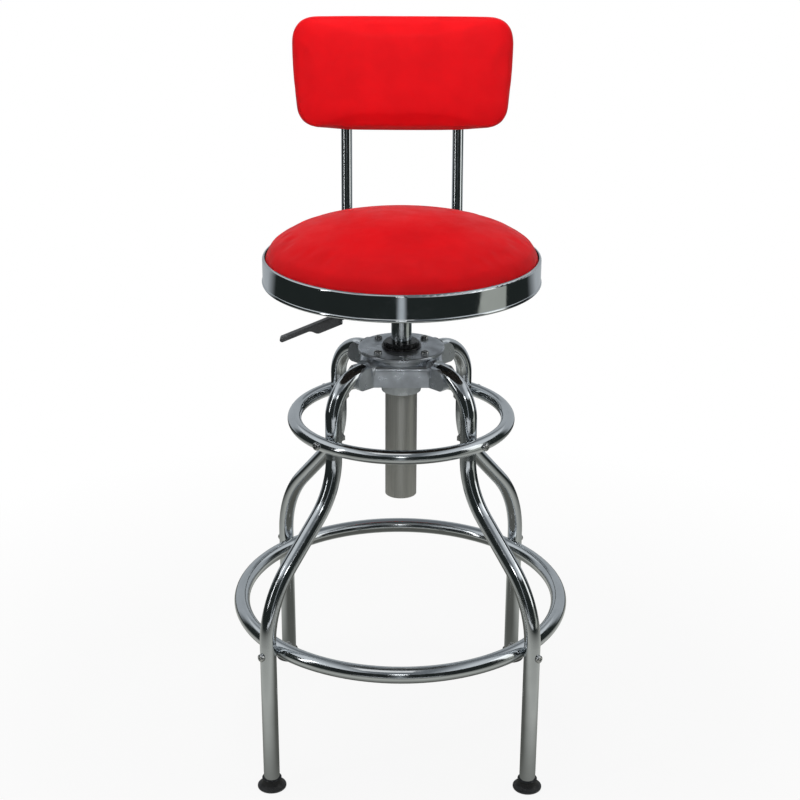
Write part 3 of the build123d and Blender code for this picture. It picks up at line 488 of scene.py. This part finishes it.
def pad_outline(inset, edge_count=30, corner_count=14):
    """Pad from the front, inset evenly: a trapezium with arc corners whose top edge dips as a parabola."""
    sizes = upholstery()
    top = sizes.pad_height / 2
    half_top, half_bottom = sizes.pad_top / 2, sizes.pad_bottom / 2
    corners = np.array([(half_top, top), (-half_top, top), (-half_bottom, -top), (half_bottom, -top)])
    arcs = []
    for last, corner, following in zip(np.roll(corners, 1, axis=0), corners, np.roll(corners, -1, axis=0)):
        before = (corner - last) / np.hypot(*(corner - last))
        after = (following - corner) / np.hypot(*(following - corner))
        turn = np.arccos(before @ after)
        inward = (after - before) / np.hypot(*(after - before))
        centre = corner + inward * sizes.pad_corner / np.cos(turn / 2)
        start = np.arctan2(-before[0], before[1])
        arcs.append(arc(centre, sizes.pad_corner - inset, start, start + turn, corner_count))
    share = np.linspace(0, 1, edge_count + 2)[1:-1, None]
    stretches = []
    for here, following in zip(arcs, arcs[1:] + arcs[:1]):
        stretches += [here, here[-1] * (1 - share) + following[0] * share]
    line = np.vstack(stretches)
    across = np.clip(1 - (line[:, 0] / half_top) ** 2, 0, 1)
    line[:, 1] -= sizes.pad_sag * across * np.clip(line[:, 1] / top, 0, 1) ** 2
    return line


def pad_rows():
    """Rows of points from the rear's middle, round the edge, to the front's middle, in the backrest's frame.

    A row is the outline at an inset, or scaled to the middle; the front's depth follows a sphere. Behind, the
    cover ends on the board: its rear dips into the wood, which shows.
    """
    sizes = upholstery()
    rear = back_place()[2] + REAR_GAP
    front_round, rear_round = sizes.pad_front_round, sizes.pad_rear_round
    quarter = np.linspace(0, pi / 2, 8)

    def crown(line):
        fall = sizes.pad_crown - np.sqrt(sizes.pad_crown**2 - (line**2).sum(axis=1))
        return rear + sizes.pad_thickness - fall

    def row(line, depth):
        return np.column_stack([line, depth + 0 * line[:, 0]])

    rim = pad_outline(rear_round)
    edge = crown(pad_outline(front_round)) - front_round
    inner = pad_outline(PAD_INNER)
    tucked = np.linspace(PAD_TIP, PAD_TUCKED, PAD_STEPS)
    rows = [row(rim * share, rear + REAR_TUCK) for share in tucked]
    rows.append(row(rim, rear))
    for angle in quarter[1:]:
        line = pad_outline(rear_round * (1 - sin(angle)))
        rows.append(row(line, rear + rear_round * (1 - cos(angle))))
    side = pad_outline(0)
    for share in np.linspace(0, 1, 5)[1:]:
        rows.append(row(side, (rear + rear_round) * (1 - share) + edge * share))
    for angle in quarter[1:]:
        line = pad_outline(front_round * (1 - cos(angle)))
        rows.append(row(line, edge + front_round * sin(angle)))
    for inset in np.linspace(front_round, PAD_INNER, 5)[1:]:
        line = pad_outline(inset)
        rows.append(row(line, crown(line)))
    for share in np.linspace(1, PAD_TIP, PAD_STEPS)[1:]:
        rows.append(row(inner * share, crown(inner * share)))
    return np.array(rows)


# Operators


class STOOL_OT_seat_cushion(bpy.types.Operator):
    """Domed seat cushion: vinyl over foam, tucked into the band and blown tight by its stuffing"""

    bl_idname = "stool.seat_cushion"
    bl_label = "Seat Cushion"

    def execute(self, context):
        swell = upholstery().swell
        rim_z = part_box("seat_band")[1].z
        piece = add_piece("seat_cover", lofted_mesh("seat_cover", turned(seat_profile(), SEAT_AROUND)))
        stuffed(piece, lambda points: points[:, 2] < rim_z, swell)
        finish_cover(piece, "seat_cushion")
        # The photograph's uprights mirror no red.
        piece.visible_glossy = False
        return {"FINISHED"}


class STOOL_OT_back_pad(bpy.types.Operator):
    """Crowned back pad: vinyl over foam, drawn round the edge of its board"""

    bl_idname = "stool.back_pad"
    bl_label = "Back Pad"

    def execute(self, context):
        swell = upholstery().swell
        axes, origin, radius = back_place()
        rows = pad_rows() @ axes + origin
        piece = add_piece("back_cover", lofted_mesh("back_cover", rows))
        front = axes[2]
        held_depth = radius + upholstery().pad_rear_round + swell
        stuffed(piece, lambda points: (points - origin) @ front < held_depth, swell)
        finish_cover(piece, "back_pad")
        return {"FINISHED"}


class STOOL_OT_metalwork(bpy.types.Operator):
    """Chrome, zinc, drawn steel and cast aluminium of the base, column, band and uprights"""

    bl_idname = "stool.metalwork"
    bl_label = "Metalwork"

    def execute(self, context):
        tubes = nodes_named("leg_front", "leg_rear", "upright_left", "upright_right")
        tubes += ["upper_ring", "lower_ring"]
        finish_nodes(chrome_plate("chrome_plated_tube", 0.02, 0.12), tubes)
        finish_nodes(chrome_plate("chrome_plated_band", 0.02, 0.06), ["seat_band"])
        finish_nodes(chrome_plate("ground_hard_chrome", 0.01, 0.2), ["pressure_tube", "piston_rod"])
        fasteners = nodes_named("upper_ring_", "lower_ring_", "leg_bolts", "bracket_bolts", "upright_bolts")
        fasteners += ["back_screws", "bearing_balls", "retaining_clip", "release_pin", "lever_pin"]
        finish_nodes(zinc_plate(), fasteners)
        turned_steel = nodes_named("thrust_washer") + ["guide_tube", "piston", "rod_gland", "valve_body"]
        finish_nodes(drawn_steel(), turned_steel)
        finish_nodes(cast_aluminium(), ["hub"])
        return {"FINISHED"}


class STOOL_OT_mouldings(bpy.types.Operator):
    """Black plastic, rubber and powder-coated pieces"""

    bl_idname = "stool.mouldings"
    bl_label = "Mouldings"

    def execute(self, context):
        black = finishes().black
        plastic = ["column_bush", "bearing_cage", "upright_spacers", "upright_caps"]
        finish_nodes(black_moulding("moulded_black_nylon", black, 0.3, 1.0, 0.03), plastic)
        # Painted light: the handle's black nylon is lightened against the shade under the seat.
        lightened_nylon = black_moulding("black_nylon_lightened_against_shade", finishes().handle, 0.42, 1.2, 0.06)
        finish_nodes(lightened_nylon, ["lever_handle"])
        rubber = nodes_named("glide_") + ["bump_stop"]
        finish_nodes(black_moulding("moulded_black_rubber", black, 0.5, 1.4, 0.04), rubber)
        coat = black_moulding("black_powder_coat", black, 0.4, 0.9, 0.05)
        finish_nodes(coat, ["seat_bracket", "lever_bar"])
        return {"FINISHED"}


class STOOL_OT_boards(bpy.types.Operator):
    """Plywood boards of the seat and the back"""

    bl_idname = "stool.boards"
    bl_label = "Boards"

    def execute(self, context):
        # Both boards get the plywood darkened as painted shade.
        finish_nodes(shade_darkened_plywood(), ["seat_board", "back_board"])
        return {"FINISHED"}


class STOOL_OT_stage(bpy.types.Operator):
    """Pale floor, shell of painted reflections, lamps, world and camera"""

    bl_idname = "stool.stage"
    bl_label = "Stage"

    def execute(self, context):
        context.scene.view_settings.view_transform = "Standard"
        add_floor()
        add_shell()
        add_lamps()
        add_world(context.scene)
        add_camera(context.scene)
        return {"FINISHED"}


def finish_cover(piece, node):
    """Vinyl, smooth shading and the place of a padded piece in the frame."""
    soften(piece)
    piece.data.materials.append(bpy.data.materials.get(VINYL) or upholstery_vinyl())
    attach(piece, "seat")
    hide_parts(node)


# Stage


def seen_rays(tree):
    """1 for camera, glossy and transmission rays, which show the background; 0 for light on the object."""
    path = add_node(tree, "ShaderNodeLightPath").outputs
    either = {0: path["Is Camera Ray"], 1: path["Is Glossy Ray"]}
    first = add_node(tree, "ShaderNodeMath", either, operation="MAXIMUM").outputs[0]
    both = {0: first, 1: path["Is Transmission Ray"]}
    return add_node(tree, "ShaderNodeMath", both, operation="MAXIMUM").outputs[0]


def bare_material(name):
    """Material with only an output; returns it and its tree."""
    material = bpy.data.materials.new(name)
    material.use_nodes = True
    tree = material.node_tree
    tree.nodes.remove(tree.nodes["Principled BSDF"])
    return material, tree


def add_floor():
    """White paper floor that keeps the shadow near the stool and runs out into a plain white background."""
    corners = np.array([(-1, -1, 0), (1, -1, 0), (1, 1, 0), (-1, 1, 0)]) * FLOOR_HALF
    mesh = bpy.data.meshes.new("floor")
    mesh.from_pydata(corners.tolist(), [], [(0, 1, 2, 3)])
    material, tree = bare_material("white_paper")
    away = add_node(tree, "ShaderNodeVectorMath", {0: place_of(tree)}, operation="LENGTH").outputs["Value"]
    fade = spread(tree, away, FLOOR_GLOW, 1, *FLOOR_FADE)
    share = add_node(tree, "ShaderNodeMath", {0: fade, 1: seen_rays(tree)}, operation="MULTIPLY").outputs[0]
    paper = add_node(tree, "ShaderNodeBsdfDiffuse", {"Color": (*linear("#F7F7F6"), 1)}).outputs[0]
    white = add_node(tree, "ShaderNodeEmission", {"Color": (1, 1, 1, 1), "Strength": 1}).outputs[0]
    mixed = add_node(tree, "ShaderNodeMixShader", {0: share, 1: paper, 2: white}).outputs[0]
    tree.links.new(mixed, tree.nodes["Material Output"].inputs["Surface"])
    floor = add_piece("floor", mesh)
    mesh.materials.append(material)


def ramp(value, start, end):
    """0 before the start, 1 past the end, straight between."""
    return np.clip((value - start) / (end - start), 0, 1)


def painted_reflection_colour(points):
    """Linear colour of the shell at its points, layer by layer.

    Every colour here is a painted reflection. The floor is grey, with painted shade under the stool, and dark
    far away. A pale strip of painted highlight runs along it and up the wall behind the camera, and a white
    card of painted highlight lies in front. A painted window reflection lies at the right and pale paper
    hangs behind the stool. The ceiling, pale at its sides, holds a painted reflection of a white softbox.
    """
    x, y, z = points.T
    painted_window = (x > SHELL_PAINTED_WINDOW[0]) & (y > SHELL_PAINTED_WINDOW[1]) & (y < SHELL_PAINTED_WINDOW[2])
    middle_x, middle_y, half = SHELL_PAINTED_SOFTBOX
    card_half, card_far, card_near = SHELL_HIGHLIGHT_CARD
    highlight_card = (np.abs(x) < card_half) & (y > card_far) & (y < card_near)
    painted_softbox = (np.abs(x - middle_x) < half) & (np.abs(y - middle_y) < half) & (z > SHELL_WALL)
    layers = (
        # Painted shade on the ground under the stool, seen in the mirrors.
        ("#63645F", 1 - ramp(np.hypot(x, y), *SHELL_PAINTED_SHADE)),
        ("#272C2B", ramp(np.hypot(x, y), *SHELL_NEAR)),
        # Painted highlights for the mirrors: a pale strip towards the camera and a white card in front.
        ("#C3C9CD", ramp(np.abs(x), *SHELL_HIGHLIGHT_STRIP) * (y < card_far)),
        ("#F2F5F7", highlight_card),
        # Painted reflection of a window at the right.
        ("#B5B8B0", painted_window),
        ("#B4B9BD", ramp(y, *SHELL_PAPER)),
        ("#7A7F83", z > SHELL_WALL),
        ("#E2E6E9", (z > SHELL_WALL) * ramp(np.abs(x), *SHELL_SIDES)),
        # Painted reflection of a white softbox in the ceiling.
        ("#FFFFFF", painted_softbox),
    )
    value = np.tile(linear("#C4C5BF"), (len(points), 1))
    for code, share in layers:
        value += (np.array(linear(code)) - value) * share[:, None]
    return value


def add_shell():
    """Glowing shell of painted reflections that only mirrors see: a disc, an upright cylinder and a cone on
    top; azimuth 0 is the front.
    """
    azimuth = np.linspace(0, 2 * pi, SHELL_AROUND)
    ground_rows, wall_rows, ceiling_rows = SHELL_ROWS
    ground = [(radius, SHELL_GROUND) for radius in np.linspace(0.01, SHELL_RADIUS, ground_rows)]
    wall = [(SHELL_RADIUS, height) for height in np.linspace(SHELL_GROUND, SHELL_WALL, wall_rows)[1:]]
    share = np.linspace(0, 1, ceiling_rows)
    cone_radius = SHELL_RADIUS * (1 - share) + MM
    cone_height = SHELL_WALL + MM + (SHELL_TOP - SHELL_WALL) * share
    ceiling = np.column_stack([cone_radius, cone_height])
    radius, height = np.hsplit(np.vstack([ground, wall, ceiling]), 2)
    points = np.stack([radius * np.sin(azimuth), -radius * np.cos(azimuth), height + 0 * azimuth], axis=-1)
    here = np.arange(points.size // 3).reshape(points.shape[:2])
    faces = np.stack([here[:-1, :-1], here[1:, :-1], here[1:, 1:], here[:-1, 1:]], axis=-1).reshape(-1, 4)
    points = points.reshape(-1, 3)
    mesh = bpy.data.meshes.new("painted_reflection_shell")
    mesh.from_pydata(points.tolist(), [], faces.tolist())
    painted_reflection = mesh.attributes.new("painted_reflection", "FLOAT_COLOR", "POINT")
    painted_reflection.data.foreach_set("color", np.column_stack([painted_reflection_colour(points), np.ones(len(points))]).ravel())
    material, tree = bare_material("painted_reflection_walls")
    painted = add_node(tree, "ShaderNodeAttribute", attribute_name="painted_reflection").outputs["Color"]
    light = add_node(tree, "ShaderNodeEmission", {"Color": painted, "Strength": 1}).outputs[0]
    tree.links.new(light, tree.nodes["Material Output"].inputs["Surface"])
    shell = add_piece("painted_reflection_shell", mesh)
    mesh.materials.append(material)
    shell.visible_camera = False
    shell.visible_diffuse = False
    shell.visible_shadow = False
    shell.visible_transmission = False


def add_lamp(name, place, target, width, height, power, beam=pi, mirrored=True):
    """Rectangular soft lamp aimed at a point, with its beam's angle; mirrors may or may not show it."""
    lamp = bpy.data.lights.new(name, "AREA")
    lamp.shape = "RECTANGLE"
    lamp.size = width
    lamp.size_y = height
    lamp.energy = power
    lamp.spread = beam
    holder = bpy.data.objects.new(name, lamp)
    bpy.context.scene.collection.objects.link(holder)
    holder.location = place
    holder.rotation_euler = (Vector(target) - Vector(place)).to_track_quat("-Z", "Y").to_euler()
    holder.visible_camera = False
    holder.visible_glossy = mirrored


def add_lamps():
    """Overhead softbox, a beam on the pad, a window lamp, a strip at the left and a flash by the camera."""
    middle = (0, 0, 0.6)
    # Mirrors don't see this lamp; they see the shell's painted softbox reflection instead.
    add_lamp("overhead_softbox", (-0.2, 0.25, 2.3), middle, 1.5, 1.0, 14, mirrored=False)
    add_lamp("pad_lamp", (0, -1.7, 2.0), (0, 0.25, 1.0), 0.5, 0.4, 1.0, radians(30), mirrored=False)
    add_lamp("window_lamp", (2.1, -0.5, 1.2), middle, 0.8, 1.5, 4)
    add_lamp("strip_lamp", (-1.9, -1.0, 1.2), middle, 0.15, 1.5, 3)
    add_lamp("flash", (0, -2.0, 1.42), middle, 0.3, 0.2, 1.2)


def add_world(scene):
    """White where it is seen, soft even light elsewhere."""
    world = bpy.data.worlds.new("studio")
    world.use_nodes = True
    tree = world.node_tree
    tree.nodes.clear()
    seen = add_node(tree, "ShaderNodeBackground", {"Color": (1, 1, 1, 1), "Strength": 1}).outputs[0]
    soft = add_node(tree, "ShaderNodeBackground", {"Color": (1, 1, 1, 1), "Strength": AMBIENT}).outputs[0]
    mixed = add_node(tree, "ShaderNodeMixShader", {0: seen_rays(tree), 1: soft, 2: seen}).outputs[0]
    add_node(tree, "ShaderNodeOutputWorld", {"Surface": mixed})
    scene.world = world


def add_camera(scene):
    """Camera at the photograph's place: level with the head, looking down at the stool's front."""
    camera = bpy.data.cameras.new("camera")
    camera.sensor_width = SENSOR
    camera.lens = FOCAL_PIXELS * SENSOR / PHOTO_WIDTH
    holder = bpy.data.objects.new("camera", camera)
    scene.collection.objects.link(holder)
    turn = Matrix.Rotation(pi / 2 - CAMERA_PITCH, 4, "X") @ Matrix.Rotation(CAMERA_ROLL, 4, "Z")
    holder.matrix_world = Matrix.Translation(CAMERA_PLACE) @ Matrix.Rotation(CAMERA_YAW, 4, "Z") @ turn
    scene.camera = holder


OPERATORS = (
    STOOL_OT_metalwork,
    STOOL_OT_mouldings,
    STOOL_OT_boards,
    STOOL_OT_seat_cushion,
    STOOL_OT_back_pad,
    STOOL_OT_stage,
)


class STOOL_PT_panel(bpy.types.Panel):
    """Sizes, colours and steps of the stool"""

    bl_label = "Shop Stool"
    bl_idname = "STOOL_PT_panel"
    bl_space_type = "VIEW_3D"
    bl_region_type = "UI"
    bl_category = "Shop Stool"

    def draw(self, context):
        for group in (context.scene.stool_upholstery, context.scene.stool_finishes):
            for name in group.__annotations__:
                self.layout.prop(group, name)
        for operator in OPERATORS:
            self.layout.operator(operator.bl_idname)


CLASSES = (StoolUpholstery, StoolFinishes, *OPERATORS, STOOL_PT_panel)


def register():
    """Registers the classes and hangs the settings on the scene."""
    for each in CLASSES:
        bpy.utils.register_class(each)
    bpy.types.Scene.stool_upholstery = PointerProperty(type=StoolUpholstery)
    bpy.types.Scene.stool_finishes = PointerProperty(type=StoolFinishes)


def unregister():
    """Takes the settings and classes away again."""
    del bpy.types.Scene.stool_finishes
    del bpy.types.Scene.stool_upholstery
    for each in reversed(CLASSES):
        bpy.utils.unregister_class(each)


def main():
    """Runs the operators in order."""
    register()
    bpy.ops.stool.metalwork()
    bpy.ops.stool.mouldings()
    bpy.ops.stool.boards()
    bpy.ops.stool.seat_cushion()
    bpy.ops.stool.back_pad()
    bpy.ops.stool.stage()


if __name__ == "__main__":
    main()
